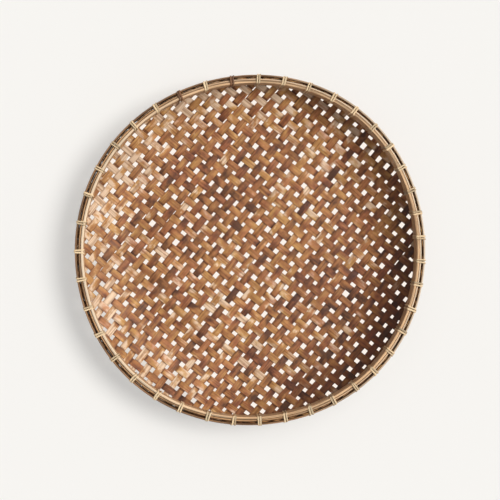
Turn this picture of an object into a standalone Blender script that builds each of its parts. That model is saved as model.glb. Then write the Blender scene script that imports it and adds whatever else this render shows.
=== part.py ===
"""Winnowing basket: a shallow round tray of woven bamboo, clamped and lashed to a rim of bent hoops.

The woven mat is a dish whose edge turns up between an outer hoop and an inner stack, which is a
packing strip and a broad inner hoop. Two-turn cane lashings bind the stack at even hand spacing.
Each lashing runs over the hoops and back under them through a slot in the mat.
"""

import math

import bmesh
import bpy

# Driving dimensions, in metres.
RIM_DIAMETER = 0.500
FLOOR_RADIUS = 0.150
WALL_SLOPE = math.radians(32.0)
MAT_THICKNESS = 0.0020
MAT_BEND_RADIUS = 0.010
HOOP_HEIGHT = 0.025
INNER_HOOP_THICKNESS = 0.0040
PACKING_THICKNESS = 0.0026
OUTER_HOOP_THICKNESS = 0.0026
PACKING_DROP = 0.0015
MAT_EDGE_DROP = 0.0040
HOOP_EDGE_ROUND = 0.0008
STRAND_WIDTH = 0.0029
STRAND_THICKNESS = 0.0009
STRAND_CORNER = 0.0010

# Fits.
CLEARANCE = 0.0003
STRAND_GAP = 0.0006
SCARF_GAP = 0.0004

# Counts and angles.
LASHING_COUNT = 41
LASHING_TURNS = 2
FIRST_LASHING = math.radians(4.7)
LASHING_DRIFT = math.radians(4.5)
SCARF_ANGLE = math.radians(13.0)
INNER_SCARF_AT = math.radians(255.0)
PACKING_SCARF_AT = math.radians(130.0)
OUTER_SCARF_AT = math.radians(302.0)
RING_STEPS = 2 * LASHING_COUNT
WALL_ARC_STEPS = 6
BEND_ARC_STEPS = 4

# Colours are linear RGB, then roughness.
MAT_FINISH = ((0.39, 0.16, 0.065), 0.62)
INNER_HOOP_FINISH = ((0.74, 0.53, 0.31), 0.50)
PACKING_FINISH = ((0.62, 0.42, 0.24), 0.55)
OUTER_HOOP_FINISH = ((0.30, 0.165, 0.080), 0.55)
LASHING_FINISH = ((0.80, 0.62, 0.39), 0.45)

# Radii of the rim stack, from the outside in.
OUTER_HOOP_OUT = RIM_DIAMETER / 2
OUTER_HOOP_IN = OUTER_HOOP_OUT - OUTER_HOOP_THICKNESS
MAT_EDGE_OUT = OUTER_HOOP_IN - CLEARANCE
MAT_EDGE_IN = MAT_EDGE_OUT - MAT_THICKNESS
PACKING_OUT = MAT_EDGE_IN - CLEARANCE
PACKING_IN = PACKING_OUT - PACKING_THICKNESS
INNER_HOOP_OUT = PACKING_IN - CLEARANCE
INNER_HOOP_IN = INNER_HOOP_OUT - INNER_HOOP_THICKNESS

# The wall is an arc that leaves the floor level and reaches WALL_SLOPE where the bend starts.
BEND_START = MAT_EDGE_OUT - MAT_BEND_RADIUS * (1 - math.sin(WALL_SLOPE))
WALL_ARC_RADIUS = (BEND_START - FLOOR_RADIUS) / math.sin(WALL_SLOPE)
WALL_RISE = WALL_ARC_RADIUS * (1 - math.cos(WALL_SLOPE))
HOOP_BOTTOM = WALL_RISE + MAT_BEND_RADIUS * math.cos(WALL_SLOPE)
HOOP_TOP = HOOP_BOTTOM + HOOP_HEIGHT

# A faceted ring's flats lie nearer the axis than its corners by this factor.
FLAT = math.cos(math.pi / RING_STEPS)
STRAND_PITCH = STRAND_WIDTH + STRAND_GAP
LASHING_SPAN = LASHING_TURNS * STRAND_PITCH + STRAND_WIDTH


def clear_scene():
    """Removes whatever the opened file holds."""
    for thing in list(bpy.data.objects):
        bpy.data.objects.remove(thing, do_unlink=True)


def new_collection(name):
    """A collection linked to the scene."""
    collection = bpy.data.collections.new(name)
    bpy.context.scene.collection.children.link(collection)
    return collection


def new_material(name, finish):
    """A Principled material of one colour and roughness."""
    colour, roughness = finish
    material = bpy.data.materials.new(name)
    material.use_nodes = True
    shader = material.node_tree.nodes["Principled BSDF"]
    shader.inputs["Base Color"].default_value = (*colour, 1.0)
    shader.inputs["Roughness"].default_value = roughness
    shader.inputs["Metallic"].default_value = 0.0
    return material


def new_object(name, mesh, collection, material=None):
    """An object of a mesh, in a collection."""
    thing = bpy.data.objects.new(name, mesh)
    collection.objects.link(thing)
    if material:
        mesh.materials.clear()
        mesh.materials.append(material)
    return thing


def profile_mesh(name, points, closed):
    """A mesh of the edges through (radius, height) points."""
    mesh = bpy.data.meshes.new(name)
    build = bmesh.new()
    corners = [build.verts.new((radius, 0.0, height)) for radius, height in points]
    for here, after in zip(corners, corners[1:]):
        build.edges.new((here, after))
    if closed:
        build.edges.new((corners[-1], corners[0]))
    build.to_mesh(mesh)
    build.free()
    return mesh


def turn(thing):
    """Turns a profile about Z into a closed ring or dish."""
    screw = thing.modifiers.new("Turn", "SCREW")
    screw.angle = math.tau
    screw.steps = RING_STEPS
    screw.render_steps = RING_STEPS
    screw.use_merge_vertices = True
    screw.merge_threshold = 0.00001
    screw.use_normal_calculate = True
    screw.use_smooth_shade = False


def cut(thing, cutter):
    """Takes a cutter's space out of a piece."""
    boolean = thing.modifiers.new("Cut " + cutter.name, "BOOLEAN")
    boolean.operation = "DIFFERENCE"
    boolean.solver = "EXACT"
    boolean.object = cutter


def box_cutter(name, boxes, collection):
    """A cutter of boxes, each an (angle, turn, centre radius, centre height, sizes)."""
    mesh = bpy.data.meshes.new(name)
    build = bmesh.new()
    for angle, lean, radius, height, sizes in boxes:
        made = bmesh.ops.create_cube(build, size=1.0)["verts"]
        for corner in made:
            across = corner.co.x * sizes[0]
            along = corner.co.y * sizes[1]
            x = across * math.cos(lean) - along * math.sin(lean) + radius
            y = across * math.sin(lean) + along * math.cos(lean)
            corner.co.z = corner.co.z * sizes[2] + height
            corner.co.x = x * math.cos(angle) - y * math.sin(angle)
            corner.co.y = x * math.sin(angle) + y * math.cos(angle)
    build.to_mesh(mesh)
    build.free()
    cutter = new_object(name, mesh, collection)
    cutter.hide_render = True
    cutter.display_type = "WIRE"
    return cutter


def arc(centre, radius, start, end, steps):
    """Points on an arc, with angles measured from straight down towards +X."""
    angles = [start + (end - start) * step / steps for step in range(steps + 1)]
    return [
        (centre[0] + radius * math.sin(angle), centre[1] - radius * math.cos(angle))
        for angle in angles
    ]


def mat_surface(offset):
    """The mat's section from the axis to its top edge, offset inwards from the underside."""
    wall_centre = (FLOOR_RADIUS, WALL_ARC_RADIUS)
    bend_centre = (MAT_EDGE_OUT - MAT_BEND_RADIUS, HOOP_BOTTOM)
    wall = arc(wall_centre, WALL_ARC_RADIUS - offset, 0.0, WALL_SLOPE, WALL_ARC_STEPS)
    bend = arc(bend_centre, MAT_BEND_RADIUS - offset, WALL_SLOPE, math.pi / 2, BEND_ARC_STEPS)
    edge = (MAT_EDGE_OUT - offset, HOOP_TOP - MAT_EDGE_DROP)
    return [(0.0, offset)] + wall + bend[1:] + [edge]


def lashing_angle(number):
    """Where a lashing sits round the rim: even spacing that drifts as a hand's does."""
    even = FIRST_LASHING + math.tau * number / LASHING_COUNT
    return even - LASHING_DRIFT * math.sin(even)


def strand_loop():
    """One turn of a strand's middle line round the rim, as (radius, height) from below, outwards."""
    off = CLEARANCE + STRAND_THICKNESS / 2
    inner = INNER_HOOP_IN * FLAT - off
    outer = OUTER_HOOP_OUT + off
    low = HOOP_BOTTOM - off
    high = HOOP_TOP + off
    corner = STRAND_CORNER
    return [
        ((inner + outer) / 2, low),
        (outer - corner, low),
        (outer, low + corner),
        (outer, high - corner),
        (outer - corner, high),
        (inner + corner, high),
        (inner, high - corner),
        (inner, low + corner),
        (inner + corner, low),
    ]


def strand_path():
    """The whole strand: its turns in a row, each point with its shift along the rim."""
    loop = strand_loop()
    turns = loop * LASHING_TURNS + loop[:1]
    lengths = [0.0]
    for here, after in zip(turns, turns[1:]):
        lengths.append(lengths[-1] + math.dist(here, after))
    span = LASHING_TURNS * STRAND_PITCH
    return [
        (radius, span * (length / lengths[-1] - 0.5), height)
        for (radius, height), length in zip(turns, lengths)
    ]


def lashing_mesh(material):
    """The ribbon of one lashing, at +X, before it gets its thickness."""
    path = strand_path()
    sections = len(path)
    mesh = bpy.data.meshes.new("lashing")
    build = bmesh.new()
    bmesh.ops.create_grid(build, x_segments=sections - 1, y_segments=1, size=0.5)
    for corner in build.verts:
        radius, shift, height = path[round((corner.co.x + 0.5) * (sections - 1))]
        side = math.copysign(STRAND_WIDTH / 2, corner.co.y)
        corner.co = (radius, shift + side, height)
    build.to_mesh(mesh)
    build.free()
    mesh.materials.append(material)
    return mesh


def make_mat(parts, cutters):
    """The woven mat: a thin dish with an upturned edge, slotted under the hoops for the lashings."""
    material = new_material("woven splint", MAT_FINISH)
    section = mat_surface(MAT_THICKNESS) + mat_surface(0.0)[::-1]
    mat = new_object("woven_mat", profile_mesh("woven_mat", section, False), parts, material)
    turn(mat)
    slot_height = STRAND_THICKNESS + 2 * CLEARANCE
    slot_middle = HOOP_BOTTOM - CLEARANCE - STRAND_THICKNESS / 2
    slot_sizes = (MAT_BEND_RADIUS, LASHING_SPAN + 2 * CLEARANCE, slot_height)
    slots = [
        (lashing_angle(number), 0.0, MAT_EDGE_OUT, slot_middle, slot_sizes)
        for number in range(LASHING_COUNT)
    ]
    cut(mat, box_cutter("lashing_slots", slots, cutters))


def make_hoop(name, outside, inside, top, scarf_at, finish, parts, cutters):
    """A strip bent into a ring, its ends meeting in a slanted scarf."""
    material = new_material(name.replace("_", " "), finish)
    section = [(outside, top), (outside, HOOP_BOTTOM), (inside, HOOP_BOTTOM), (inside, top)]
    hoop = new_object(name, profile_mesh(name, section, True), parts, material)
    turn(hoop)
    edges = hoop.modifiers.new("Round edges", "BEVEL")
    edges.width = HOOP_EDGE_ROUND
    edges.segments = 1
    edges.limit_method = "ANGLE"
    edges.angle_limit = math.radians(40.0)
    scarf_length = 6 * (outside - inside) / math.sin(SCARF_ANGLE)
    sizes = (SCARF_GAP, scarf_length, 3 * HOOP_HEIGHT)
    middle = (outside + inside) / 2
    scarf = [(scarf_at, SCARF_ANGLE, middle, HOOP_BOTTOM, sizes)]
    cut(hoop, box_cutter(name + "_scarf", scarf, cutters))


def make_lashings(parts):
    """The cane lashings, each one strand wound twice round the rim."""
    material = new_material("split cane", LASHING_FINISH)
    mesh = lashing_mesh(material)
    for number in range(LASHING_COUNT):
        lashing = new_object("lashing_%02d" % (number + 1), mesh, parts)
        lashing.rotation_euler.z = lashing_angle(number)
        thickness = lashing.modifiers.new("Thickness", "SOLIDIFY")
        thickness.thickness = STRAND_THICKNESS
        thickness.offset = 0.0
        thickness.use_even_offset = True


def main():
    clear_scene()
    parts = new_collection("winnowing_basket")
    cutters = new_collection("cutters")
    make_mat(parts, cutters)
    make_hoop(
        "inner_hoop", INNER_HOOP_OUT, INNER_HOOP_IN, HOOP_TOP,
        INNER_SCARF_AT, INNER_HOOP_FINISH, parts, cutters,
    )
    make_hoop(
        "rim_packing", PACKING_OUT, PACKING_IN, HOOP_TOP - PACKING_DROP,
        PACKING_SCARF_AT, PACKING_FINISH, parts, cutters,
    )
    make_hoop(
        "outer_hoop", OUTER_HOOP_OUT, OUTER_HOOP_IN, HOOP_TOP,
        OUTER_SCARF_AT, OUTER_HOOP_FINISH, parts, cutters,
    )
    make_lashings(parts)


main()
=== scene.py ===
"""Winnowing basket looks: woven splints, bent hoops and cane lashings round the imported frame."""

import math

import bpy
from bpy.props import FloatProperty, FloatVectorProperty, IntProperty, PointerProperty
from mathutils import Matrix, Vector


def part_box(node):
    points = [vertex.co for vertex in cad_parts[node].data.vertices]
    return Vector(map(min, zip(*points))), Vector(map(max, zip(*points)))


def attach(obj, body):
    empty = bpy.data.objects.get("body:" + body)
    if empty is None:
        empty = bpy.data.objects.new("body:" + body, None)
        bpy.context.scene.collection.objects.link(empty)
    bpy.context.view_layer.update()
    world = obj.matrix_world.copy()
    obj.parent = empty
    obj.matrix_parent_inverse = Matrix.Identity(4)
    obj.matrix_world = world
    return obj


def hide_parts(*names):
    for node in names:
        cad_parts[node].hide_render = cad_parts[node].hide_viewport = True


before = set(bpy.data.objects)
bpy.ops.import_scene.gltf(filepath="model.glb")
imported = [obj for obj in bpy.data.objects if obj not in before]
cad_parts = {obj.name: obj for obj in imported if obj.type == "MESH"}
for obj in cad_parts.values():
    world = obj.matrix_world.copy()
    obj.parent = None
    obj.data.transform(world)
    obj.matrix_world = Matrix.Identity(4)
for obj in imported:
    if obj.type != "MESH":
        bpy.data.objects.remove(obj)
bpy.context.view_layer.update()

bl_info = {
    "name": "Winnowing Basket",
    "version": (1, 0, 0),
    "blender": (4, 5, 0),
    "location": "View3D > Sidebar > Basket",
    "description": "Weaves a bamboo winnowing tray, bends its hoops and lashes its rim",
    "category": "Add Mesh",
}

LASHING_NODES = sorted(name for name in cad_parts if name.startswith("lashing_"))

# Outer radii and heights that the frame's own nodes give.
_, (MAT_RADIUS, _, MAT_TOP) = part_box("woven_mat")
(_, _, RIM_BOTTOM), (INNER_RADIUS, _, RIM_TOP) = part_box("inner_hoop")
_, (PACKING_RADIUS, _, PACKING_TOP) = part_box("rim_packing")
_, (OUTER_RADIUS, _, OUTER_TOP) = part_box("outer_hoop")

# Powers that square a round section: less than 1 gives it flatter sides.
SPLINT_SQUARE, SPLINT_FLAT, CREST_SQUARE = 0.42, 0.40, 0.2
STRAND_SQUARE, STRAND_FLAT = 0.6, 0.75

# How splints vary: least half length, widths, gathering at the rim, thin edges, drift, nicks.
SHORTEST = 0.01
SPLINT_WIDTHS = (0.91, 1.09)
GATHER_RUN, GATHER_SHARE = 0.012, 0.38
THIN_EDGE, THIN_EDGE_POWER = 0.25, 3.0
DRIFT_SHARE, NICK_SHARE = 3.4, 0.12

# Steps through the noise by row and by seed, so that no two rows are alike.
DRIFT_ROW, DRIFT_SEED = 7.3, 1.7
NICK_ROW, NICK_SEED = 3.1, 2.3
HOOP_SEED = 0.37

# The trimmed edge rises towards +X, between these cosines of its direction.
RAISED_SIDE = (-0.45, 0.2)

# How hoops vary: share of their waver in bends and in splinters, reach of a joint's swelling.
WOBBLE_SHARE, SPLINTER_SHARE, JOINT_REACH = 0.3, 2.2, 0.0022

# Where the hoops' slanted ends meet, in degrees round the rim.
INNER_SCARF, PACKING_SCARF, OUTER_SCARF = 255.0, 130.0, 302.0

# How lashings vary: slip round the rim in radians, widths, and where a strand's fibre starts.
STRAND_SLIP = 0.006
STRAND_WIDTHS = (0.88, 1.10)
STRAND_RUN, STRAND_FIBRE = 0.08, 0.31

# The first dark lashing, counted from 0, the step to the next one and how many there are.
FIRST_DARK, DARK_STEP, DARK_COUNT = 11, 2, 2

# Hand-bent hoops are not quite round: lobes round the rim, share of the radius, place in degrees.
HAND_BEND = ((2, 0.0056, 38.0), (3, 0.0038, -52.0), (4, 0.0053, -38.0))
BEND_FROM, BEND_FULL = 0.08, 0.23

# Sides painted for light and shade: painted light on the top wall, painted shade on the right and lower
# right walls, and the card's shaded side; direction in plan, radii where it starts and is full, breadth.
TOP_WALL_LIGHT = (math.radians(104.0), 0.16, 0.22, 0.60)
RIGHT_WALL_SHADE = (math.radians(-14.0), 0.12, 0.19, 0.68)
LOWER_RIGHT_SHADE = (math.radians(-46.0), 0.184, 0.220, 0.40)
SHADED_CARD = (math.radians(212.0), 0.190, 0.230, 0.40)
SHEEN_REACH = (0.168, 0.230)
LIT_SIDE_REACH = (0.0, 0.1)
SIDE_BREADTH, SIDE_FULL = 0.85, 0.95

# How much of each change a splint shows. Tone and grime are the splint's own; sheen and top wall light are
# painted light; the right and lower right wall shades are painted shade.
TONE_SHARE, SHEEN_SHARE, TOP_LIGHT_SHARE = 0.38, 0.27, 0.19
GRIME_SHARE, RIGHT_SHADE_SHARE, LOWER_RIGHT_SHADE_SHARE = 0.32, 0.36, 0.48
SHEEN_CLEARS_TINT = 0.85

# Where marks start and end on their own scale, and their strength at both ends. Streak and joint marks are
# the fibre's own; the edge, dip and slope marks are painted shade along a splint's edges and where it dips
# under a crossing one; the top mark is painted light on the trimmed ends near the rim top.
SPLINT_STREAK = (0.0, 0.65, 0.85, 0.0)
SPLINT_EDGE_SHADE = (0.89, 1.0, 0.0, 0.88)
SPLINT_DIP_SHADE = (-0.72, -0.46, 0.95, 0.0)
SPLINT_SLOPE_SHADE = (-0.5, 0.10, 0.16, 0.0)
SPLINT_TOP_LIGHT = (RIM_TOP - 0.0040, RIM_TOP - 0.0015, 0.0, 0.8)
STRIP_JOINT = (0.25, 0.9, 0.0, 0.8)

# Colours that others are seen through, and the one that a strip's lit side is painted towards. Splints
# darken towards the shade and grime tint for both painted shade and real grime.
GOLDEN_TINT, REDDISH_TINT = (1.0, 1.0, 0.92), (0.90, 0.74, 0.82)
STREAK_TINT, SHADE_AND_GRIME_TINT, STAIN_TINT = (0.50, 0.40, 0.33), (0.30, 0.21, 0.17), (0.60, 0.48, 0.38)
LIT_SIDE_COLOUR, LIT_SIDE_SHARE = (0.95, 0.80, 0.60), 0.6
STRIP_GRIME, STRIP_LOW, STRIP_HIGH = 0.3, 0.50, 1.15

# Roughness of the smoothest fibre, what the roughest adds, and depth of the fibre's bump.
SPLINT_ROUGH, SPLINT_GRAIN, SPLINT_BUMP = 0.46, 0.2, 0.00018
STRIP_GRAIN, STRIP_BUMP = 0.18, 0.00012

# The floor's share of glow, how clear the card's shaded side is, and the even light's colour.
FLOOR_GLOW, SHADED_CLEAR = 0.50, 0.55
SKY_COLOUR = (0.97, 0.98, 1.0)

# Keeps a distance from the middle above nothing, so that it can divide.
TINY = 1e-9


class BasketWeave(bpy.types.PropertyGroup):
    """Sizes of the woven mat."""

    rising_count: IntProperty(
        name="Rising Splints", description="Splints from lower left to upper right", default=34)
    falling_count: IntProperty(
        name="Falling Splints", description="Splints from upper left to lower right", default=31)
    rising_angle: FloatProperty(
        name="Rising Direction", description="Direction of the rising splints in plan",
        subtype="ANGLE", default=math.radians(50.4))
    falling_angle: FloatProperty(
        name="Falling Direction", description="Direction of the falling splints in plan",
        subtype="ANGLE", default=math.radians(140.8))
    rising_pitch: FloatProperty(
        name="Rising Pitch", description="Spacing of the rising splints", unit="LENGTH", default=0.01498)
    falling_pitch: FloatProperty(
        name="Falling Pitch", description="Spacing of the falling splints", unit="LENGTH", default=0.01657)
    rising_first: FloatProperty(
        name="Rising Start", description="Offset of the first rising splint from the middle",
        unit="LENGTH", default=-0.2478)
    falling_first: FloatProperty(
        name="Falling Start", description="Offset of the first falling splint from the middle",
        unit="LENGTH", default=-0.2478)
    rising_width: FloatProperty(
        name="Rising Width", description="Width of a rising splint", unit="LENGTH", default=0.0101)
    falling_width: FloatProperty(
        name="Falling Width", description="Width of a falling splint", unit="LENGTH", default=0.0104)
    thickness: FloatProperty(
        name="Splint Thickness", description="Thickness at the middle of a splint",
        unit="LENGTH", default=0.00085)
    lift: FloatProperty(
        name="Weave Lift", description="Rise and fall of a splint at a crossing",
        unit="LENGTH", default=0.00047)
    stray: FloatProperty(
        name="Splint Stray", description="How far a splint wanders from its place",
        unit="LENGTH", default=0.0014)
    floor_radius: FloatProperty(
        name="Floor Radius", description="Flat middle of the tray", unit="LENGTH", default=0.150)
    wall_slope: FloatProperty(
        name="Wall Slope", description="Slope of the wall below the rim",
        subtype="ANGLE", default=math.radians(32.0))
    bend_radius: FloatProperty(
        name="Rim Bend", description="Radius of the bend from the wall into the rim",
        unit="LENGTH", default=0.010)
    edge_drop: FloatProperty(
        name="Edge Drop", description="How far the trimmed edge lies below the hoops at its highest",
        unit="LENGTH", default=0.0010)
    mat_thickness: FloatProperty(
        name="Mat Thickness", description="Thickness of the whole woven mat",
        unit="LENGTH", default=0.0020)


class BasketRim(bpy.types.PropertyGroup):
    """Sizes of the hoops and lashings."""

    inner_thickness: FloatProperty(
        name="Inner Hoop Thickness", description="Radial thickness of the inner hoop",
        unit="LENGTH", default=0.0040)
    fit: FloatProperty(
        name="Fit", description="Gap between neighbouring pieces of the rim",
        unit="LENGTH", default=0.0003)
    scarf_angle: FloatProperty(
        name="Scarf Angle", description="Slant of a hoop's meeting ends",
        subtype="ANGLE", default=math.radians(13.0))
    strand_width: FloatProperty(
        name="Strand Width", description="Width of a lashing strand", unit="LENGTH", default=0.0025)
    strand_thickness: FloatProperty(
        name="Strand Thickness", description="Thickness of a lashing strand",
        unit="LENGTH", default=0.0009)
    strand_pitch: FloatProperty(
        name="Strand Pitch", description="Spacing of a lashing's two turns", unit="LENGTH", default=0.0033)
    lashing_start: FloatProperty(
        name="First Lashing", description="Direction of the first lashing",
        subtype="ANGLE", default=math.radians(4.7))
    lashing_drift: FloatProperty(
        name="Lashing Drift", description="How far hand spacing drifts from even spacing",
        subtype="ANGLE", default=math.radians(4.5))


class BasketColours(bpy.types.PropertyGroup):
    """Colours of the bamboo and cane."""

    splint_dark: FloatVectorProperty(
        name="Dark Splint", description="Smoked splints", subtype="COLOR", default=(0.115, 0.046, 0.022))
    splint_brown: FloatVectorProperty(
        name="Brown Splint", description="Common splints", subtype="COLOR", default=(0.360, 0.154, 0.058))
    splint_tan: FloatVectorProperty(
        name="Tan Splint", description="Lighter splints", subtype="COLOR", default=(0.580, 0.312, 0.110))
    splint_pale: FloatVectorProperty(
        name="Pale Splint", description="Scraped, palest splints", subtype="COLOR",
        default=(0.82, 0.608, 0.420))
    inner_hoop: FloatVectorProperty(
        name="Inner Hoop", description="Pale scraped bamboo", subtype="COLOR",
        default=(0.71, 0.465, 0.262))
    packing: FloatVectorProperty(
        name="Packing Strip", description="Split bamboo", subtype="COLOR", default=(0.52, 0.310, 0.155))
    outer_hoop: FloatVectorProperty(
        name="Outer Hoop", description="Dark bamboo skin", subtype="COLOR", default=(0.30, 0.165, 0.080))
    cane: FloatVectorProperty(
        name="Lashing Cane", description="Pale split cane", subtype="COLOR", default=(0.84, 0.660, 0.420))
    cane_dark: FloatVectorProperty(
        name="Dark Cane", description="Smoked split cane", subtype="COLOR", default=(0.200, 0.095, 0.045))


class BasketStage(bpy.types.PropertyGroup):
    """Camera, lamps and floor."""

    camera_height: FloatProperty(
        name="Camera Height", description="Height of the lens above the floor",
        unit="LENGTH", default=1.90)
    camera_side: FloatProperty(
        name="Camera Side Step", description="How far the lens stands left of the middle",
        unit="LENGTH", default=0.14)
    lens: FloatProperty(
        name="Lens", description="Focal length in millimetres", default=93.8)
    lamp_direction: FloatProperty(
        name="Lamp Direction", description="Where the key light comes from, in plan",
        subtype="ANGLE", default=math.radians(12.0))
    lamp_height: FloatProperty(
        name="Lamp Height", description="Height of the key light above the horizon",
        subtype="ANGLE", default=math.radians(56.0))
    lamp_size: FloatProperty(
        name="Lamp Size", description="Apparent width of the key light",
        subtype="ANGLE", default=math.radians(28.0))
    lamp_power: FloatProperty(name="Lamp Power", description="Strength of the key light", default=2.30)
    side_direction: FloatProperty(
        name="Side Lamp Direction", description="Where the weaker lamp comes from, in plan",
        subtype="ANGLE", default=math.radians(52.0))
    side_share: FloatProperty(
        name="Side Lamp Share", description="Strength of the weaker lamp beside the key light",
        default=0.28)
    sky_power: FloatProperty(name="Sky Power", description="Strength of the even light", default=0.33)
    floor_colour: FloatVectorProperty(
        name="Floor", description="Colour of the floor", subtype="COLOR", default=(0.888, 0.878, 0.853))
    backdrop_colour: FloatVectorProperty(
        name="Backdrop", description="Colour behind the floor, as bright as the lit floor",
        subtype="COLOR", default=(0.929, 0.915, 0.883))
    gap_colour: FloatVectorProperty(
        name="Gap Floor", description="Bright floor that shows through the weave", subtype="COLOR",
        default=(0.982, 0.896, 0.814))


class Field:
    """A value that runs through a node tree, so that a formula in the script reads as one."""

    def __init__(self, sheet, socket):
        self.sheet = sheet
        self.socket = socket

    def __add__(self, other):
        return self.sheet.maths("ADD", self, other)

    def __radd__(self, other):
        return self.sheet.maths("ADD", other, self)

    def __sub__(self, other):
        return self.sheet.maths("SUBTRACT", self, other)

    def __rsub__(self, other):
        return self.sheet.maths("SUBTRACT", other, self)

    def __mul__(self, other):
        return self.sheet.maths("MULTIPLY", self, other)

    def __rmul__(self, other):
        return self.sheet.maths("MULTIPLY", other, self)

    def __truediv__(self, other):
        return self.sheet.maths("DIVIDE", self, other)


class Sheet:
    """A node tree under construction, with short calls for its nodes and links."""

    def __init__(self, tree):
        self.tree = tree

    def add(self, kind, **settings):
        node = self.tree.nodes.new(kind)
        for name, value in settings.items():
            setattr(node, name, value)
        return node

    def feed(self, socket, value):
        """Links a field to a socket or sets a plain value there, with alpha on a colour."""
        if isinstance(value, Field):
            self.tree.links.new(value.socket, socket)
        elif socket.type == "RGBA":
            socket.default_value = (*value, 1.0)
        else:
            socket.default_value = value

    def run(self, kind, inputs, output=0, **settings):
        """Adds a node, feeds its inputs by name or number and returns one output."""
        node = self.add(kind, **settings)
        for key, value in inputs.items():
            self.feed(node.inputs[key], value)
        return Field(self, node.outputs[output])

    def maths(self, operation, *values):
        return self.run("ShaderNodeMath", dict(enumerate(values)), operation=operation)

    def sin(self, value):
        return self.maths("SINE", value)

    def cos(self, value):
        return self.maths("COSINE", value)

    def size(self, value):
        return self.maths("ABSOLUTE", value)

    def clamp(self, value, low, high):
        return self.maths("MINIMUM", self.maths("MAXIMUM", value, low), high)

    def distance(self, x, y):
        """How far a place in plan lies from the middle."""
        return self.maths("SQRT", x * x + y * y + TINY)

    def turn(self, along, across, angle):
        """A place in plan, turned round the middle."""
        turn_cos = self.cos(angle)
        turn_sin = self.sin(angle)
        return along * turn_cos - across * turn_sin, along * turn_sin + across * turn_cos

    def swell(self, value, power):
        """Keeps the sign and bends the size by a power, which squares a circle's corners."""
        return self.maths("SIGN", value) * self.maths("POWER", self.size(value), power)

    def vector(self, x, y, z):
        return self.run("ShaderNodeCombineXYZ", {0: x, 1: y, 2: z})

    def parts(self, vector):
        """The three numbers of a vector."""
        node = self.add("ShaderNodeSeparateXYZ")
        self.feed(node.inputs[0], vector)
        return [Field(self, socket) for socket in node.outputs]

    def mix(self, amount, first, second, blend="MIX"):
        """A colour between two. Its sockets share their names with others, so they go by number."""
        inputs = {0: amount, 6: first, 7: second}
        return self.run("ShaderNodeMix", inputs, output=2, data_type="RGBA", blend_type=blend)

    def tint(self, colour, glass, amount=1.0):
        """A colour as it looks through coloured glass."""
        return self.mix(amount, colour, glass, "MULTIPLY")

    def ramp(self, value, stops):
        """A colour ramp through (place, colour) stops."""
        node = self.add("ShaderNodeValToRGB")
        self.feed(node.inputs[0], value)
        elements = node.color_ramp.elements
        while len(elements) < len(stops):
            elements.new(1.0)
        for element, (place, colour) in zip(elements, stops):
            element.position = place
            element.color = (*colour, 1.0)
        return Field(self, node.outputs[0])

    def spread(self, value, low, high, new_low=0.0, new_high=1.0):
        """Maps a range onto another, clamped."""
        inputs = {0: value, 1: low, 2: high, 3: new_low, 4: new_high}
        return self.run("ShaderNodeMapRange", inputs, clamp=True)

    def noise(self, vector, scale, detail=2.0, roughness=0.5):
        """Smooth noise from 0 to 1 at a vector."""
        inputs = {"Vector": vector, "Scale": scale, "Detail": detail, "Roughness": roughness}
        return self.run("ShaderNodeTexNoise", inputs)


def new_group(kind, name, inputs, outputs):
    """A node group with named sockets, its sheet and its inputs as fields."""
    tree = bpy.data.node_groups.new(name.replace("_", " ").title(), kind)
    for label, socket_type, value in inputs:
        socket = tree.interface.new_socket(label, in_out="INPUT", socket_type=socket_type)
        if value is not None:
            socket.default_value = value
    for label, socket_type in outputs:
        tree.interface.new_socket(label, in_out="OUTPUT", socket_type=socket_type)
    sheet = Sheet(tree)
    entry = sheet.add("NodeGroupInput")
    fields = {label: Field(sheet, entry.outputs[label]) for label, _, _ in inputs}
    return tree, sheet, fields


def end_group(sheet, outputs):
    """Feeds a group's outputs by name."""
    ending = sheet.add("NodeGroupOutput")
    for label, value in outputs.items():
        sheet.feed(ending.inputs[label], value)


def new_geometry_tree(name, floats, counts):
    """A geometry tree whose inputs are lengths, shares or angles, and whole numbers."""
    inputs = [(label, "NodeSocketFloat", 0.0) for label in floats]
    inputs += [(label, "NodeSocketInt", 1) for label in counts]
    return new_group("GeometryNodeTree", name, inputs, [("Geometry", "NodeSocketGeometry")])


def store(sheet, geometry, name, value, data_type="FLOAT", domain="POINT"):
    """Keeps a field on the mesh under a name."""
    inputs = {"Geometry": geometry, "Name": name, "Value": value}
    return sheet.run(
        "GeometryNodeStoreNamedAttribute", inputs, data_type=data_type, domain=domain)


def bars(sheet, count, sides, segments):
    """Rows of unit bars along Z, all at the origin, that carry their row number."""
    rows = sheet.run("GeometryNodeMeshLine", {"Count": count, "Offset": (0.0, 0.0, 0.0)})
    rows = store(sheet, rows, "row", sheet.run("GeometryNodeInputIndex", {}))
    inputs = {"Vertices": sides, "Side Segments": segments, "Radius": 1.0, "Depth": 2.0}
    bar = sheet.run("GeometryNodeMeshCylinder", inputs, fill_type="NGON")
    copies = sheet.run("GeometryNodeInstanceOnPoints", {"Points": rows, "Instance": bar})
    solid = sheet.run("GeometryNodeRealizeInstances", {"Geometry": copies})
    row = sheet.run("GeometryNodeInputNamedAttribute", {"Name": "row"}, data_type="FLOAT")
    across, through, along = sheet.parts(sheet.run("GeometryNodeInputPosition", {}))
    return solid, row, across, through, along


def turn_out(sheet, geometry):
    """Flips the faces of bars that their bending round the rim would turn inside out."""
    return sheet.run("GeometryNodeFlipFaces", {"Mesh": geometry})


def mark(sheet, geometry, strip, **values):
    """Keeps a strip's own map, and single values, on the mesh for its material."""
    geometry = store(sheet, geometry, "strip", strip, "FLOAT2", "CORNER")
    for name, value in values.items():
        geometry = store(sheet, geometry, name, value)
    return geometry


def chance(sheet, row, seed, low, high):
    """A random number for each row."""
    node = sheet.add("FunctionNodeRandomValue", data_type="FLOAT")
    numbers = [socket for socket in node.inputs if socket.type == "VALUE"]
    sheet.feed(numbers[0], low)
    sheet.feed(numbers[1], high)
    sheet.feed(node.inputs["ID"], row)
    sheet.feed(node.inputs["Seed"], seed)
    return Field(sheet, node.outputs[1])


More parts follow.
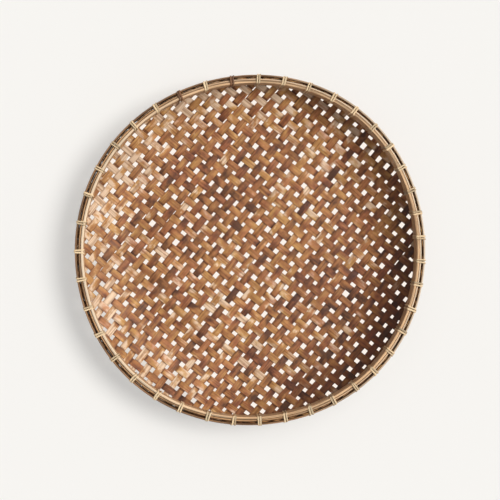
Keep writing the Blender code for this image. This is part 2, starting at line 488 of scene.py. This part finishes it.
def bend_by_hand(sheet, x, y, z):
    """Pushes the rim a little out of round and leaves the tray's middle where it is."""
    turned = sheet.maths("ARCTAN2", y, x)
    push = 0.0
    for lobes, share, degrees in HAND_BEND:
        push = push + share * sheet.cos((turned - math.radians(degrees)) * lobes)
    stretch = 1.0 + push * sheet.spread(sheet.distance(x, y), BEND_FROM, BEND_FULL)
    return sheet.vector(x * stretch, y * stretch, z)


def finish_tree(sheet, geometry, position, material):
    """Moves a mesh's points to their place, shades it smooth and gives it its material."""
    moved = sheet.run("GeometryNodeSetPosition", {"Geometry": geometry, "Position": position})
    smooth = sheet.run("GeometryNodeSetShadeSmooth", {"Geometry": moved})
    solid = sheet.run("GeometryNodeRealizeInstances", {"Geometry": smooth})
    painted = sheet.run("GeometryNodeSetMaterial", {"Geometry": solid, "Material": material})
    end_group(sheet, {"Geometry": painted})


def grow(name, tree, values):
    """Runs a geometry tree on a new object and keeps the result as a plain mesh."""
    piece = bpy.data.objects.new(name, bpy.data.meshes.new(name))
    bpy.context.scene.collection.objects.link(piece)
    modifier = piece.modifiers.new(tree.name, "NODES")
    modifier.node_group = tree
    for item in tree.interface.items_tree:
        if item.in_out == "INPUT":
            modifier[item.identifier] = values[item.name]
    depsgraph = bpy.context.evaluated_depsgraph_get()
    evaluated = piece.evaluated_get(depsgraph)
    mesh = bpy.data.meshes.new_from_object(
        evaluated, preserve_all_data_layers=True, depsgraph=depsgraph)
    piece.modifiers.clear()
    piece.data = mesh
    mesh.name = name
    return piece


def splint_tree(name, material):
    """Splints of one direction: straight in the flat sheet, then pressed into the tray."""
    floats = (
        "First Offset", "Pitch", "Width", "Thickness", "Direction", "Crossing Offset",
        "Crossing Pitch", "Lift", "Stray", "Sheet Radius", "Ragged Ends", "Floor Radius",
        "Wall Radius", "Wall Slope", "Bend Radius", "Mat Thickness", "Edge Raise")
    tree, sheet, given = new_geometry_tree(name, floats, ("Count", "Segments", "Seed"))
    solid, row, across, through, along = bars(
        sheet, given["Count"], sides=16, segments=given["Segments"])
    seed = given["Seed"]
    stray = given["Stray"]
    floor = given["Floor Radius"]
    wall = given["Wall Radius"]
    slope = given["Wall Slope"]
    bend = given["Bend Radius"]

    # Each splint has its own place, width, length and tone.
    slip = chance(sheet, row, seed, -1.0, 1.0) * stray
    offset = given["First Offset"] + row * given["Pitch"] + slip
    broad = given["Width"] * chance(sheet, row, seed + 1.0, *SPLINT_WIDTHS)
    end = given["Sheet Radius"] + chance(sheet, row, seed + 2.0, -1.0, 0.0) * given["Ragged Ends"]
    reach_squared = sheet.maths("MAXIMUM", end * end - offset * offset, SHORTEST ** 2)
    tone = chance(sheet, row, seed + 3.0, 0.0, 1.0)
    run = along * sheet.maths("SQRT", reach_squared)

    # A flat strip with soft edges, thinner there, that wavers a little along its run.
    wall_end = floor + wall * slope
    gather = sheet.spread(sheet.distance(run, offset), wall_end, wall_end + GATHER_RUN)
    edge = sheet.swell(across, SPLINT_SQUARE)
    side = edge * broad * 0.5 * (1.0 + GATHER_SHARE * gather)
    crown = 1.0 - THIN_EDGE * sheet.maths("POWER", sheet.size(edge), THIN_EDGE_POWER)
    depth = sheet.swell(through, SPLINT_FLAT) * given["Thickness"] * 0.5 * crown
    drift_place = sheet.vector(run, row * DRIFT_ROW, seed * DRIFT_SEED)
    drift = sheet.noise(drift_place, scale=9.0, detail=1.0)
    nick_place = sheet.vector(
        run, row * NICK_ROW + sheet.maths("SIGN", across), seed * NICK_SEED)
    nick = sheet.noise(nick_place, scale=60.0)
    ragged = 1.0 + NICK_SHARE * (nick - 0.5)
    shift = offset + side * ragged + (drift - 0.5) * stray * DRIFT_SHARE

    # Over one, under one.
    wave = sheet.cos((run - given["Crossing Offset"]) * math.pi / given["Crossing Pitch"])
    parity = 1.0 - 2.0 * sheet.maths("MODULO", row, 2.0)
    crest = parity * wave * (1.5 - 0.5 * wave * wave) * sheet.maths("SIGN", given["Lift"])
    lift = crest * sheet.size(given["Lift"])

    # The flat sheet is pressed into the tray along the same arcs as the mat's section.
    flat_x, flat_y = sheet.turn(run, shift, given["Direction"])
    from_middle = sheet.distance(flat_x, flat_y)
    upright = math.pi / 2 - slope
    bend_end = wall_end + bend * upright
    on_wall = sheet.clamp((from_middle - floor) / wall, 0.0, slope)
    on_bend = sheet.clamp((from_middle - wall_end) / bend, 0.0, upright)
    above = sheet.clamp(from_middle - bend_end, 0.0, end - bend_end)
    raised = given["Edge Raise"] * sheet.spread(flat_x / from_middle, *RAISED_SIDE)
    past = slope + on_bend
    radius = (
        sheet.maths("MINIMUM", from_middle, floor)
        + wall * sheet.sin(on_wall)
        + bend * (sheet.sin(past) - sheet.sin(slope)))
    height = (
        wall * (1.0 - sheet.cos(on_wall))
        + bend * (sheet.cos(slope) - sheet.cos(past))
        + above * (1.0 + raised))
    tilt = on_wall + on_bend
    rise = given["Mat Thickness"] * 0.5 + lift + depth
    radius = radius - sheet.sin(tilt) * rise
    height = height + sheet.cos(tilt) * rise
    place = bend_by_hand(
        sheet, radius * flat_x / from_middle, radius * flat_y / from_middle, height)
    solid = mark(
        sheet, solid, sheet.vector(run, side, 0.0), tone=tone,
        crest=crest * sheet.swell(through, CREST_SQUARE), edge=sheet.size(edge))
    finish_tree(sheet, solid, place, material)
    return tree


def card_tree(name, material):
    """A sheet inside the mat's thickness, from the middle to the rim, for the gaps to show."""
    floats = ("Floor Radius", "Wall Radius", "Wall Slope", "Rise")
    tree, sheet, given = new_geometry_tree(name, floats, ("Rings", "Sides"))
    inputs = {0: 1.0, 1: 1.0, 2: given["Rings"], 3: given["Sides"]}
    grid = sheet.run("GeometryNodeMeshGrid", inputs)
    outwards, round_it, _ = sheet.parts(sheet.run("GeometryNodeInputPosition", {}))
    floor = given["Floor Radius"]
    wall = given["Wall Radius"]
    slope = given["Wall Slope"]
    inset = wall - given["Rise"]
    from_middle = (outwards + 0.5) * (floor + wall * slope)
    turned = (round_it + 0.5) * math.tau
    on_wall = sheet.clamp((from_middle - floor) / wall, 0.0, slope)
    radius = sheet.maths("MINIMUM", from_middle, floor) + inset * sheet.sin(on_wall)
    height = wall - inset * sheet.cos(on_wall)
    place = bend_by_hand(sheet, radius * sheet.cos(turned), radius * sheet.sin(turned), height)
    finish_tree(sheet, grid, place, material)
    return tree


def hoop_tree(name, material):
    """A strip bent into a ring, its slanted ends meeting, with a hand-split edge."""
    floats = (
        "Outside", "Inside", "Bottom", "Top", "Scarf At", "Scarf Angle", "Scarf Gap", "Waver",
        "Squareness", "Joint Spacing", "Joint Rise")
    tree, sheet, given = new_geometry_tree(name, floats, ("Segments", "Seed"))
    solid, _, across, through, along = bars(sheet, 1, sides=20, segments=given["Segments"])
    solid = turn_out(sheet, solid)
    middle = (given["Outside"] + given["Inside"]) * 0.5
    half_thick = (given["Outside"] - given["Inside"]) * 0.5
    half_tall = (given["Top"] - given["Bottom"]) * 0.5
    out = sheet.swell(across, given["Squareness"])
    up = sheet.swell(through, given["Squareness"])
    lean = out * half_thick / middle / sheet.maths("TANGENT", given["Scarf Angle"])
    sweep = math.tau - given["Scarf Gap"] / middle
    turned = given["Scarf At"] + (along + 1.0) * 0.5 * sweep + lean
    ring_x = sheet.cos(turned)
    ring_y = sheet.sin(turned)
    ring = sheet.vector(ring_x, ring_y, given["Seed"] * HOOP_SEED)
    wobble = (sheet.noise(ring, scale=5.0, detail=3.0) - 0.5) * given["Waver"]
    splinter = (sheet.noise(ring, scale=26.0, detail=3.0) - 0.5) * given["Waver"]
    splinter = splinter * sheet.maths("MAXIMUM", up, 0.0)
    spacing = given["Joint Spacing"]
    past = sheet.maths("FRACT", turned * middle / spacing) * spacing
    joint = sheet.spread(sheet.size(past - spacing * 0.5), 0.0, JOINT_REACH, 1.0, 0.0)
    radius = middle + out * (half_thick + joint * given["Joint Rise"]) + wobble * WOBBLE_SHARE
    height = given["Bottom"] + half_tall + up * half_tall + splinter * SPLINTER_SHARE
    place = bend_by_hand(sheet, radius * ring_x, radius * ring_y, height)
    strip = sheet.vector(turned * middle, up * half_tall + out * half_thick, 0.0)
    # Tone rises with height; the hoop's material darkens its lower part and paints light on the top of its
    # lit side.
    solid = mark(sheet, solid, strip, tone=0.5 + 0.5 * up, joint=joint)
    finish_tree(sheet, solid, place, material)
    return tree


def lashing_tree(name, material):
    """Strands that each wind twice round the rim's section, set round it by hand spacing."""
    floats = (
        "Inner", "Outer", "Low", "High", "Width", "Thickness", "Pitch", "Start", "Drift",
        "Spacing", "Splay", "Squareness")
    counts = ("Count", "Segments", "Seed", "First", "Step")
    tree, sheet, given = new_geometry_tree(name, floats, counts)
    solid, row, across, through, along = bars(
        sheet, given["Count"], sides=10, segments=given["Segments"])
    solid = turn_out(sheet, solid)
    seed = given["Seed"]

    # Each lashing has its own place, tone and width.
    number = given["First"] + row * given["Step"]
    even = given["Start"] + number * given["Spacing"]
    slip = chance(sheet, row, seed, -STRAND_SLIP, STRAND_SLIP)
    turned = even - given["Drift"] * sheet.sin(even) + slip
    tone = chance(sheet, row, seed + 1.0, 0.0, 1.0)
    wide = given["Width"] * chance(sheet, row, seed + 2.0, *STRAND_WIDTHS)

    # The strand runs twice round a squared loop.
    loop = along * math.tau - math.pi / 2
    squared = given["Squareness"]
    side = sheet.swell(across, STRAND_SQUARE) * wide * 0.5
    out = sheet.swell(through, STRAND_FLAT) * given["Thickness"] * 0.5
    half_wide = (given["Outer"] - given["Inner"]) * 0.5 + out
    half_tall = (given["High"] - given["Low"]) * 0.5 + out
    outward = sheet.cos(loop)
    radius = (given["Outer"] + given["Inner"]) * 0.5 + half_wide * sheet.swell(outward, squared)
    height = (given["High"] + given["Low"]) * 0.5 + half_tall * sheet.swell(
        sheet.sin(loop), squared)

    # The two turns slant a little, apart or together, as they cross the rim's top.
    first_lean = chance(sheet, row, seed + 3.0, -1.0, 1.0)
    second_lean = chance(sheet, row, seed + 4.0, -1.0, 1.0)
    second = sheet.maths("GREATER_THAN", along, 0.0)
    lean = first_lean * (1.0 - second) + second_lean * second
    shift = side + along * given["Pitch"] + lean * outward * given["Splay"]
    place = bend_by_hand(sheet, *sheet.turn(radius, shift, turned), height)
    strip = sheet.vector(along * STRAND_RUN + row * STRAND_FIBRE, side, 0.0)
    solid = mark(sheet, solid, strip, tone=tone)
    finish_tree(sheet, solid, place, material)
    return tree


def fibre_group():
    """Bamboo fibre: fine streaks along a strip, longer stains, and turns of its hue."""
    name = "Bamboo Fibre"
    if name in bpy.data.node_groups:
        return bpy.data.node_groups[name]
    inputs = [
        ("Strip", "NodeSocketVector", None), ("Tone", "NodeSocketFloat", 0.5),
        ("Fineness", "NodeSocketFloat", 1.0)]
    outputs = [(label, "NodeSocketFloat") for label in ("Streak", "Stain", "Flush")]
    tree, sheet, given = new_group("ShaderNodeTree", name, inputs, outputs)
    run, side, _ = sheet.parts(given["Strip"])
    fine = given["Fineness"]
    lane = given["Tone"] * 37.0

    def layer(along, across, lane_shift, detail, roughness):
        place = sheet.vector(run * along, side * across, lane + lane_shift)
        return sheet.noise(place, 1.0, detail, roughness)

    hair = layer(along=16.0, across=fine * 1300.0, lane_shift=0.0, detail=3.0, roughness=0.6)
    band = layer(along=12.0, across=fine * 330.0, lane_shift=5.0, detail=2.0, roughness=0.5)
    stain = layer(along=46.0, across=60.0, lane_shift=9.0, detail=3.0, roughness=0.55)
    flush = layer(along=30.0, across=70.0, lane_shift=13.0, detail=2.0, roughness=0.5)
    end_group(sheet, {
        "Streak": sheet.spread(hair * 0.35 + band * 0.65, 0.40, 0.60),
        "Stain": sheet.spread(stain, 0.3, 0.7),
        "Flush": sheet.spread(flush, 0.40, 0.62)})
    return tree


def grime_group():
    """Dust and handling marks: broad soft patches over a piece."""
    name = "Handling Grime"
    if name in bpy.data.node_groups:
        return bpy.data.node_groups[name]
    inputs = [("Place", "NodeSocketVector", None), ("Scale", "NodeSocketFloat", 14.0)]
    tree, sheet, given = new_group(
        "ShaderNodeTree", name, inputs, [("Mask", "NodeSocketFloat")])
    broad = sheet.noise(given["Place"], given["Scale"], detail=3.0, roughness=0.6)
    end_group(sheet, {"Mask": sheet.spread(broad, 0.38, 0.66)})
    return tree


def new_material(name):
    """A material with its sheet, ready to be mixed."""
    material = bpy.data.materials.new(name)
    material.use_nodes = True
    return material, Sheet(material.node_tree)


def shade(colour, factor):
    """A colour made darker or lighter, as a plain tuple."""
    return tuple(min(1.0, part * factor) for part in colour)


def side_mask(sheet, place, direction, near, far, breadth=SIDE_BREADTH, full=SIDE_FULL):
    """A mask that grows outwards and towards one side of the basket."""
    x, y, _ = sheet.parts(place)
    away = sheet.distance(x, y)
    facing = (x * math.cos(direction) + y * math.sin(direction)) / away
    return sheet.spread(facing, 1.0 - breadth, full) * sheet.spread(away, near, far)


class Finish:
    """A bamboo material being mixed: its sheet, its shader and what every strip carries."""

    def __init__(self, name):
        self.material, self.sheet = new_material(name)
        self.shader = self.material.node_tree.nodes["Principled BSDF"]
        self.strip = self.sheet.run("ShaderNodeUVMap", {}, uv_map="strip")
        self.tone = self.attribute("tone")
        self.place = self.sheet.run("ShaderNodeTexCoord", {}, output="Object")
        self.grime = self.use(grime_group(), {"Place": self.place})["Mask"]

    def attribute(self, name):
        return self.sheet.run("ShaderNodeAttribute", {}, output="Fac", attribute_name=name)

    def use(self, group, inputs):
        """Places a shader node group and returns its outputs by name."""
        node = self.sheet.add("ShaderNodeGroup", node_tree=group)
        for key, value in inputs.items():
            self.sheet.feed(node.inputs[key], value)
        return {socket.name: Field(self.sheet, socket) for socket in node.outputs}

    def fibre(self, fineness):
        return self.use(
            fibre_group(), {"Strip": self.strip, "Tone": self.tone, "Fineness": fineness})

    def side(self, *where):
        return side_mask(self.sheet, self.place, *where)

    def seal(self, colour, streak, rough, grain, depth):
        """Connects the shader: colour, and roughness and bump that follow the fibre."""
        bump = self.sheet.run(
            "ShaderNodeBump", {"Height": streak, "Distance": depth, "Strength": 0.6})
        sockets = self.shader.inputs
        self.sheet.feed(sockets["Base Color"], colour)
        self.sheet.feed(sockets["Roughness"], rough + grain * streak)
        self.sheet.feed(sockets["Normal"], bump)
        self.sheet.feed(sockets["Specular IOR Level"], 0.28)
        return self.material


def splint_material(name, colours, low, high, sheen_side, sheen_to_pale):
    """Aged splint: tone per splint and along it, fibre streaks and stains, painted shade at its edges and
    crossings and on the right walls, and painted light and sheen on the lit walls.
    """
    finish = Finish(name)
    sheet = finish.sheet
    fibre = finish.fibre(1.0)
    edge = finish.attribute("edge")
    crest = finish.attribute("crest")
    _, _, up = sheet.parts(finish.place)

    # From smoked to scraped by splint and by stain; by side, painted light and sheen on the lit walls and
    # painted light on the top wall.
    mixed = finish.tone * TONE_SHARE + fibre["Stain"] * (1.0 - TONE_SHARE)
    mixed = sheet.spread(mixed, 0.13, 0.87)
    sheen = finish.side(sheen_side, *SHEEN_REACH)
    # Painted light on the top wall.
    top_light = finish.side(*TOP_WALL_LIGHT)
    level = low + mixed * (high - low) + sheen * SHEEN_SHARE + top_light * TOP_LIGHT_SHARE
    colour = sheet.ramp(level, [
        (0.0, colours.splint_dark), (0.30, colours.splint_brown),
        (0.66, colours.splint_tan), (1.0, colours.splint_pale)])
    hue = sheet.ramp(fibre["Flush"], [(0.0, GOLDEN_TINT), (1.0, REDDISH_TINT)])
    colour = sheet.tint(colour, hue, 1.0 - sheen * SHEEN_CLEARS_TINT)
    # Real scraped splints, and painted light and sheen on the lit walls, turn pale.
    scraped_and_lit = sheet.spread(mixed + sheen * sheen_to_pale, 0.80, 0.98)
    colour = sheet.mix(scraped_and_lit, colour, colours.splint_pale)

    # Fibre, then what darkens a splint: painted shade at its edges, its dips and its slopes, real grime,
    # and painted shade on the right and lower right walls.
    streaked = sheet.tint(colour, STREAK_TINT)
    colour = sheet.mix(sheet.spread(fibre["Streak"], *SPLINT_STREAK), colour, streaked)
    shade_and_grime = sheet.tint(colour, SHADE_AND_GRIME_TINT)
    # Painted shade on the right wall and the lower right wall.
    right_shade = finish.side(*RIGHT_WALL_SHADE) * RIGHT_SHADE_SHARE
    lower_right_shade = finish.side(*LOWER_RIGHT_SHADE) * LOWER_RIGHT_SHADE_SHARE
    darkened = (
        sheet.spread(edge, *SPLINT_EDGE_SHADE), sheet.spread(crest, *SPLINT_DIP_SHADE),
        sheet.spread(crest, *SPLINT_SLOPE_SHADE), finish.grime * GRIME_SHARE + right_shade + lower_right_shade)
    for amount in darkened:
        colour = sheet.mix(amount, colour, shade_and_grime)
    # Painted light: the trimmed ends near the rim top turn tan, against the shade between the hoops.
    colour = sheet.mix(sheet.spread(up, *SPLINT_TOP_LIGHT), colour, colours.splint_tan)
    return finish.seal(colour, fibre["Streak"], SPLINT_ROUGH, SPLINT_GRAIN, SPLINT_BUMP)


def strip_material(
        name, colour, dark_share, fineness, rough, lit_side=None, breadth=SIDE_BREADTH):
    """Split bamboo or cane of one colour, with fibre and darker stains, and the top of one side painted
    lighter, as if lit.
    """
    finish = Finish(name)
    sheet = finish.sheet
    fibre = finish.fibre(fineness)
    joint = finish.attribute("joint")
    blend = sheet.mix(
        sheet.spread(fibre["Streak"], 0.1, 0.8), shade(colour, STRIP_LOW), shade(colour, STRIP_HIGH))
    stained = sheet.tint(blend, STAIN_TINT)
    # For the hoops, whose tone rises with height, the tone term darkens them towards their bottom.
    stains = (
        sheet.spread(fibre["Stain"], 0.45, 1.0, 0.0, dark_share),
        sheet.spread(finish.tone, 0.0, 1.0, dark_share, 0.0),
        finish.grime * STRIP_GRIME, sheet.spread(joint, *STRIP_JOINT))
    for amount in stains:
        blend = sheet.mix(amount, blend, stained)
    # Painted light: the top of the strip on its lit side turns paler.
    if lit_side is not None:
        lit_colour = sheet.mix(LIT_SIDE_SHARE, blend, LIT_SIDE_COLOUR)
        lit_mask = finish.side(lit_side, *LIT_SIDE_REACH, breadth)
        blend = sheet.mix(lit_mask * sheet.spread(finish.tone, 0.80, 0.97), blend, lit_colour)
    return finish.seal(blend, fibre["Streak"], rough, STRIP_GRAIN, STRIP_BUMP)


def card_material(stage):
    """Seen from above only, and by nothing but the camera, so that it takes no light away."""
    material, sheet = new_material("gap card")
    nodes = material.node_tree.nodes
    nodes.remove(nodes["Principled BSDF"])
    glow = sheet.run("ShaderNodeEmission", {"Color": stage.gap_colour, "Strength": 1.0})
    clear = sheet.run("ShaderNodeBsdfTransparent", {})
    seen = sheet.run("ShaderNodeLightPath", {}, output="Is Camera Ray")
    above = 1.0 - sheet.run("ShaderNodeNewGeometry", {}, output="Backfacing")
    place = sheet.run("ShaderNodeTexCoord", {}, output="Object")
    shaded = side_mask(sheet, place, *SHADED_CARD, full=0.90) * SHADED_CLEAR
    amount = seen * above * (1.0 - shaded)
    surface = sheet.run("ShaderNodeMixShader", {0: amount, 1: clear, 2: glow})
    sheet.feed(nodes["Material Output"].inputs["Surface"], surface)
    return material


def looked_at(sheet):
    """1 for what the camera sees straight, mirrored or through glass, and 0 for light."""
    path = sheet.add("ShaderNodeLightPath")
    straight, mirrored, through = (
        Field(sheet, path.outputs[kind])
        for kind in ("Is Camera Ray", "Is Glossy Ray", "Is Transmission Ray"))
    return sheet.maths("MAXIMUM", straight, sheet.maths("MAXIMUM", mirrored, through))


def floor_material(stage):
    """A pale floor that keeps a soft shadow."""
    material, sheet = new_material("floor")
    nodes = material.node_tree.nodes
    matt = nodes["Principled BSDF"]
    sheet.feed(matt.inputs["Base Color"], stage.floor_colour)
    sheet.feed(matt.inputs["Roughness"], 0.9)
    sheet.feed(matt.inputs["Specular IOR Level"], 0.0)
    glow = sheet.run("ShaderNodeEmission", {"Color": stage.floor_colour, "Strength": 1.0})
    surface = sheet.run(
        "ShaderNodeMixShader",
        {0: looked_at(sheet) * FLOOR_GLOW, 1: Field(sheet, matt.outputs[0]), 2: glow})
    sheet.feed(nodes["Material Output"].inputs["Surface"], surface)
    return material


def hang_lamp(stage, name, direction, power):
    """A soft lamp far away in a direction round the basket."""
    lamp = bpy.data.lights.new(name, "SUN")
    lamp.energy = power
    lamp.angle = stage.lamp_size
    lamp.color = (1.0, 0.98, 0.955)
    bulb = bpy.data.objects.new(name, lamp)
    flat = math.cos(stage.lamp_height)
    towards = Vector((
        flat * math.cos(direction), flat * math.sin(direction), math.sin(stage.lamp_height)))
    bulb.rotation_mode = "QUATERNION"
    bulb.rotation_quaternion = towards.to_track_quat("Z", "Y")
    bpy.context.scene.collection.objects.link(bulb)


def open_sky(scene, stage):
    """Even light from all round, in front of a backdrop as pale as the floor."""
    world = bpy.data.worlds.new("soft sky")
    world.use_nodes = True
    scene.world = world
    sheet = Sheet(world.node_tree)
    sky = world.node_tree.nodes["Background"]
    seen = looked_at(sheet)
    sheet.feed(sky.inputs["Strength"], stage.sky_power + seen * (1.0 - stage.sky_power))
    sheet.feed(sky.inputs["Color"], sheet.mix(seen, SKY_COLOUR, stage.backdrop_colour))


def stand_camera(scene, stage):
    """The camera above the tray, a little to its left and turned to its middle."""
    eye = bpy.data.cameras.new("camera")
    eye.lens = stage.lens
    eye.sensor_width = 36.0
    eye.clip_end = 50.0
    eye.shift_x = -0.0049
    eye.shift_y = 0.0005
    camera = bpy.data.objects.new("camera", eye)
    camera.location = (-stage.camera_side, 0.0, stage.camera_height)
    lean = math.atan2(stage.camera_side, stage.camera_height - RIM_TOP)
    camera.rotation_euler = (0.0, -lean, 0.0)
    scene.collection.objects.link(camera)
    scene.camera = camera


def wall_radius(weave):
    """Radius of the wall's arc, which ends where the bend into the rim starts."""
    bend_start = MAT_RADIUS - weave.bend_radius * (1.0 - math.sin(weave.wall_slope))
    return (bend_start - weave.floor_radius) / math.sin(weave.wall_slope)


def settle(piece, slot, *nodes):
    """Ties a finished piece to the frame in place of its nodes."""
    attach(piece, "root")
    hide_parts(*nodes)


class BASKET_OT_stage(bpy.types.Operator):
    """Sets the floor, the lamps, the sky and the camera."""

    bl_idname = "basket.set_stage"
    bl_label = "Set Stage"

    def execute(self, context):
        scene = context.scene
        stage = scene.basket_stage
        weave = scene.basket_weave
        bpy.ops.mesh.primitive_plane_add(size=12.0, location=(0.0, 0.0, 0.0))
        floor = context.active_object
        floor.name = "floor"
        floor.data.materials.append(floor_material(stage))
        card = grow("gap_card", card_tree("Gap Card", card_material(stage)), {
            "Floor Radius": weave.floor_radius, "Wall Radius": wall_radius(weave),
            "Wall Slope": weave.wall_slope, "Rise": 0.0003, "Rings": 48, "Sides": 193})
        hang_lamp(stage, "key lamp", stage.lamp_direction, stage.lamp_power)
        hang_lamp(stage, "side lamp", stage.side_direction, stage.lamp_power * stage.side_share)
        open_sky(scene, stage)
        stand_camera(scene, stage)
        scene.view_settings.view_transform = "Standard"
        return {"FINISHED"}


class BASKET_OT_weave(bpy.types.Operator):
    """Weaves the rising and falling splints and presses them into the tray."""

    bl_idname = "basket.weave"
    bl_label = "Weave Splints"

    def execute(self, context):
        weave = context.scene.basket_weave
        colours = context.scene.basket_colours
        wall = wall_radius(weave)
        upright = MAT_TOP - RIM_BOTTOM
        sheet_radius = (
            weave.floor_radius + wall * weave.wall_slope
            + weave.bend_radius * (math.pi / 2 - weave.wall_slope) + upright)
        shared = {
            "Thickness": weave.thickness, "Stray": weave.stray, "Sheet Radius": sheet_radius,
            "Ragged Ends": 0.003, "Floor Radius": weave.floor_radius,
            "Wall Radius": wall, "Wall Slope": weave.wall_slope, "Bend Radius": weave.bend_radius,
            "Mat Thickness": weave.mat_thickness, "Segments": 176,
            "Edge Raise": (RIM_TOP - weave.edge_drop - MAT_TOP) / upright}
        rising = {
            "First Offset": weave.rising_first, "Pitch": weave.rising_pitch,
            "Width": weave.rising_width, "Direction": weave.rising_angle,
            "Crossing Offset": -weave.falling_first, "Crossing Pitch": weave.falling_pitch,
            "Count": weave.rising_count, "Lift": weave.lift, "Seed": 3}
        falling = {
            "First Offset": weave.falling_first, "Pitch": weave.falling_pitch,
            "Width": weave.falling_width, "Direction": weave.falling_angle,
            "Crossing Offset": weave.rising_first, "Crossing Pitch": weave.rising_pitch,
            "Count": weave.falling_count, "Lift": -weave.lift, "Seed": 11}
        rising_finish = splint_material(
            "rising splint", colours, low=-0.08, high=0.78,
            sheen_side=math.radians(184.0), sheen_to_pale=0.42)
        falling_finish = splint_material(
            "falling splint", colours, low=0.0, high=1.0,
            sheen_side=math.radians(128.0), sheen_to_pale=0.46)
        for name, values, material in (
                ("rising_splints", rising, rising_finish),
                ("falling_splints", falling, falling_finish)):
            piece = grow(name, splint_tree(name, material), shared | values)
            settle(piece, "woven_splint", "woven_mat")
        return {"FINISHED"}


class BASKET_OT_bend_hoops(bpy.types.Operator):
    """Bends the inner hoop, the packing strip and the outer hoop."""

    bl_idname = "basket.bend_hoops"
    bl_label = "Bend Hoops"

    def execute(self, context):
        rim = context.scene.basket_rim
        colours = context.scene.basket_colours
        shared = {
            "Bottom": RIM_BOTTOM, "Scarf Angle": rim.scarf_angle, "Scarf Gap": 0.0006,
            "Squareness": 0.28, "Segments": 900, "Waver": 0.0006,
            "Joint Spacing": 0.31, "Joint Rise": 0.00014}
        # Each hoop has a side painted lighter where light falls on it: the inner hoop's left, the
        # packing's and the outer hoop's right.
        scraped_and_lit = strip_material(
            "inner hoop", colours.inner_hoop, dark_share=0.18, fineness=0.8, rough=0.42,
            lit_side=math.radians(185.0))
        split = strip_material(
            "packing strip", colours.packing, dark_share=0.55, fineness=0.8, rough=0.5,
            lit_side=math.radians(22.0), breadth=1.25)
        skin = strip_material(
            "outer hoop", colours.outer_hoop, dark_share=0.5, fineness=0.7, rough=0.45,
            lit_side=math.radians(5.0))
        hoops = (
            ("inner_hoop", INNER_RADIUS - rim.inner_thickness, INNER_RADIUS, RIM_TOP, INNER_SCARF,
             scraped_and_lit),
            ("rim_packing", INNER_RADIUS + rim.fit, PACKING_RADIUS, PACKING_TOP, PACKING_SCARF, split),
            ("outer_hoop", MAT_RADIUS + rim.fit, OUTER_RADIUS, OUTER_TOP, OUTER_SCARF, skin),
        )
        for seed, (name, inside, outside, top, scarf_at, material) in enumerate(hoops, start=1):
            piece = grow(name + "_strip", hoop_tree(name, material), shared | {
                "Outside": outside, "Inside": inside, "Top": top, "Scarf At": math.radians(scarf_at),
                "Seed": seed})
            settle(piece, name, name)
        return {"FINISHED"}


class BASKET_OT_lash(bpy.types.Operator):
    """Winds the pale lashings and the few dark ones."""

    bl_idname = "basket.lash_rim"
    bl_label = "Lash Rim"

    def execute(self, context):
        rim = context.scene.basket_rim
        colours = context.scene.basket_colours
        off = rim.fit + rim.strand_thickness / 2
        shared = {
            "Inner": INNER_RADIUS - rim.inner_thickness - off, "Outer": OUTER_RADIUS + off,
            "Low": RIM_BOTTOM - off, "High": RIM_TOP + off, "Width": rim.strand_width,
            "Thickness": rim.strand_thickness, "Pitch": rim.strand_pitch,
            "Start": rim.lashing_start, "Drift": rim.lashing_drift,
            "Spacing": math.tau / len(LASHING_NODES), "Splay": 0.0013,
            "Squareness": 0.2, "Segments": 112, "Seed": 5}
        pale = strip_material(
            "pale cane", colours.cane, dark_share=0.3, fineness=0.9, rough=0.36)
        dark = strip_material(
            "dark cane", colours.cane_dark, dark_share=0.4, fineness=0.9, rough=0.4)
        past_dark = FIRST_DARK + DARK_STEP * DARK_COUNT - 1
        groups = (
            ("lashings_pale_start", 0, 1, FIRST_DARK, pale),
            ("lashings_dark", FIRST_DARK, DARK_STEP, DARK_COUNT, dark),
            ("lashing_pale_between", FIRST_DARK + 1, 1, 1, pale),
            ("lashings_pale", past_dark, 1, len(LASHING_NODES) - past_dark, pale),
        )
        for name, first, step, count, material in groups:
            piece = grow(name, lashing_tree(name, material), shared | {
                "First": first, "Step": step, "Count": count})
            settle(piece, "cane_lashing", *LASHING_NODES[first:first + step * count:step])
        return {"FINISHED"}


class BASKET_PT_panel(bpy.types.Panel):
    """Lists the basket's sizes, colours and steps in the sidebar."""

    bl_label = "Winnowing Basket"
    bl_idname = "BASKET_PT_panel"
    bl_space_type = "VIEW_3D"
    bl_region_type = "UI"
    bl_category = "Basket"

    def draw(self, context):
        layout = self.layout
        for operator in OPERATORS:
            layout.operator(operator.bl_idname)
        for group in GROUPS:
            settings = getattr(context.scene, group)
            for name in settings.__annotations__:
                layout.prop(settings, name)


GROUPS = {
    "basket_weave": BasketWeave,
    "basket_rim": BasketRim,
    "basket_colours": BasketColours,
    "basket_stage": BasketStage,
}
OPERATORS = (BASKET_OT_stage, BASKET_OT_weave, BASKET_OT_bend_hoops, BASKET_OT_lash)
CLASSES = (*GROUPS.values(), *OPERATORS, BASKET_PT_panel)


def register():
    for cls in CLASSES:
        bpy.utils.register_class(cls)
    for name, group in GROUPS.items():
        setattr(bpy.types.Scene, name, PointerProperty(type=group))


def unregister():
    for name in GROUPS:
        delattr(bpy.types.Scene, name)
    for cls in reversed(CLASSES):
        bpy.utils.unregister_class(cls)


def main():
    register()
    bpy.ops.basket.set_stage()
    bpy.ops.basket.weave()
    bpy.ops.basket.bend_hoops()
    bpy.ops.basket.lash_rim()


if __name__ == "__main__":
    main()
